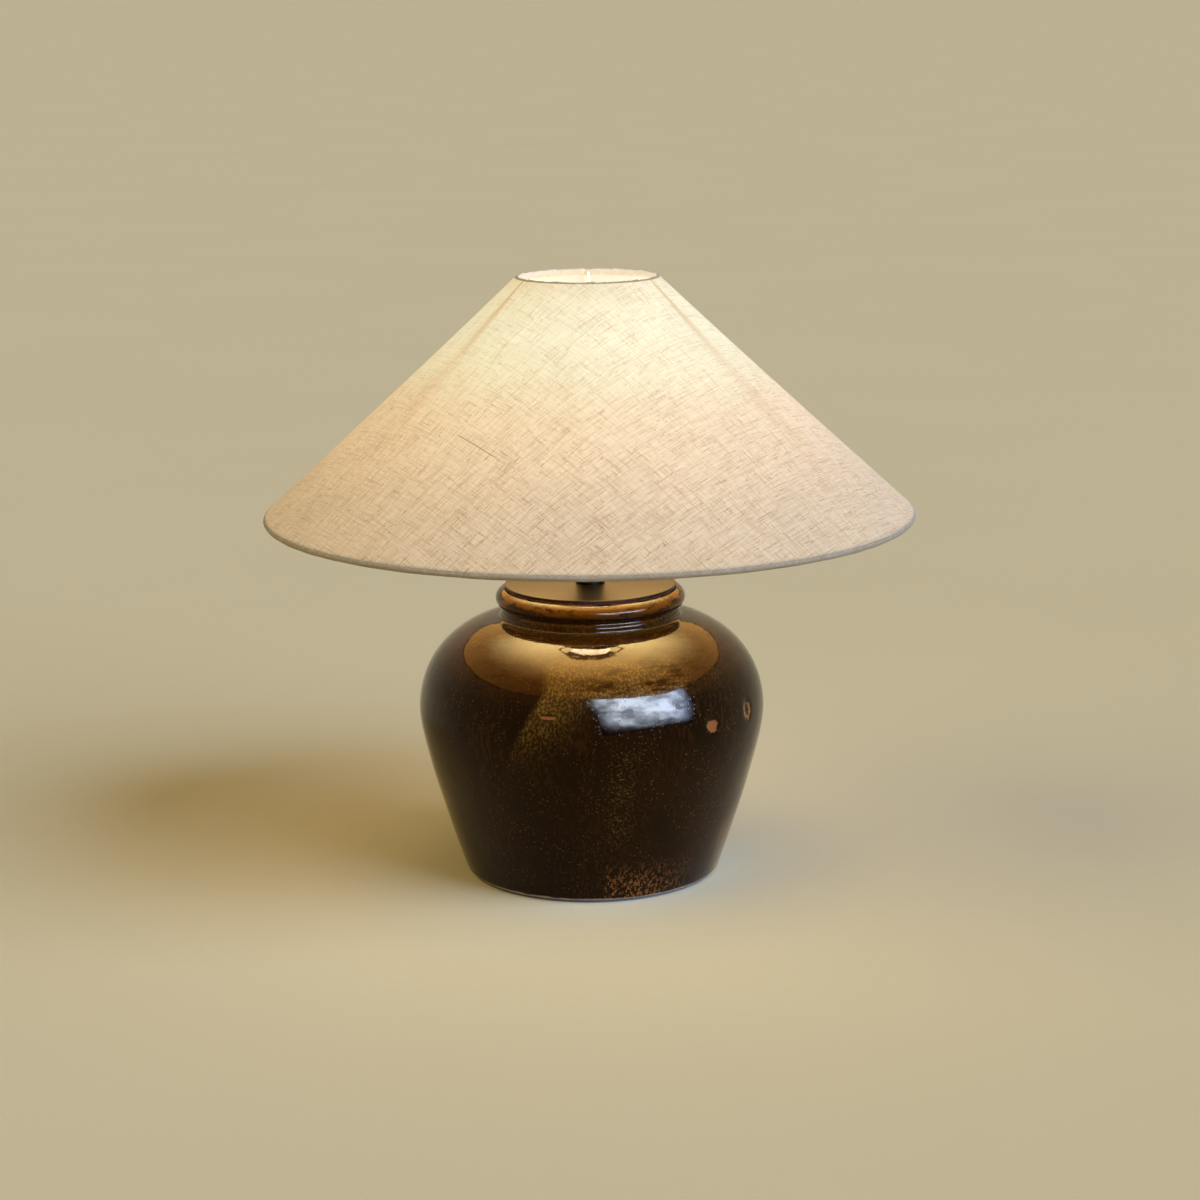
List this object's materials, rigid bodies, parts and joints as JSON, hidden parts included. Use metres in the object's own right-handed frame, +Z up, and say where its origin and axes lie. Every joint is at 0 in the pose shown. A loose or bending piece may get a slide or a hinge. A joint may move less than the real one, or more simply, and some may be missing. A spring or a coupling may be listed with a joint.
{
  "type": "table lamp",
  "caption": "Table lamp: a round-shouldered glazed jar with a metal cover plate and stem under a wide cone shade of linen that turns on the lampholder.",
  "frame": {"origin": "middle of the underside, on the plane it stands on", "axes": "+Z up along the jar's and shade's axis, front along -Y, the lead's bush at the back (+Y)"},
  "size_m": [0.4497, 0.4498, 0.4185],
  "materials": {
    "glaze": "gloss",
    "felt": "matte",
    "rubber": "matte",
    "cork": "matte",
    "bronze": "satin",
    "black_metal": "satin",
    "steel": "satin",
    "phenolic": "gloss",
    "nylon": "matte",
    "steatite": "matte",
    "brass": "satin",
    "linen": "matte",
    "lining": "matte",
    "white_wire": "satin",
    "opal_glass": "satin",
    "clear_glass": "gloss",
    "black_glass": "gloss",
    "nickel": "satin",
    "tungsten": "matte"
  },
  "bodies": {
    "base": {"jar": "glaze", "base_pad": "felt", "cord_grommet": "rubber", "rim_gasket": "cork", "cover_plate": "bronze", "clamp_bar": "steel", "clamp_pads": "rubber", "clamp_washer": "steel", "clamp_nut": "steel", "lock_nut": "steel", "threaded_tube": "steel", "tube_bush": "nylon", "stem_collar": "bronze", "stem_sleeve": "black_metal", "holder_cup": "phenolic", "grub_screw": "steel", "contact_block": "steatite", "terminal_screws": "brass", "switch_blades": "brass", "centre_contact": "brass", "screw_shell": "brass", "holder_skirt": "phenolic", "shade_ring": "phenolic"},
    "shade": {"shade_cover": "linen", "shade_lining": "lining", "top_ring": "white_wire", "bottom_ring": "white_wire", "top_binding": "linen", "bottom_binding": "linen", "spider_ring": "white_wire", "spider_arms": "white_wire"},
    "switch": {"switch_bar": "brass"},
    "bulb_tip": {"bulb_eyelet": "nickel"},
    "bulb": {"bulb_globe": "opal_glass", "bulb_cap": "nickel", "bulb_insulator": "black_glass", "bulb_stem": "clear_glass", "bulb_leads": "nickel", "bulb_filament": "tungsten"}
  },
  "joints": [
    {"name": "shade_swivel", "type": "hinge", "parent": "base", "child": "shade", "pos_m": [0, 0, 0.271], "axis": [0, 0, 1], "continuous": true},
    {"name": "switch_push", "type": "slide", "parent": "base", "child": "switch", "axis": [1, 0, 0], "range_m": [0, 0.005]},
    {"name": "bulb_lift", "type": "slide", "parent": "base", "child": "bulb_tip", "axis": [0, 0, 1], "range_m": [0, 0.01452]},
    {"name": "bulb_turn", "type": "hinge", "parent": "bulb_tip", "child": "bulb", "pos_m": [0, 0, 0.285], "axis": [0, 0, 1], "range_deg": [0, 1441]}
  ],
  "couplings": [
    {"joint": "bulb_turn", "follows": "bulb_lift", "rad_per_m": 1731.4}
  ]
}
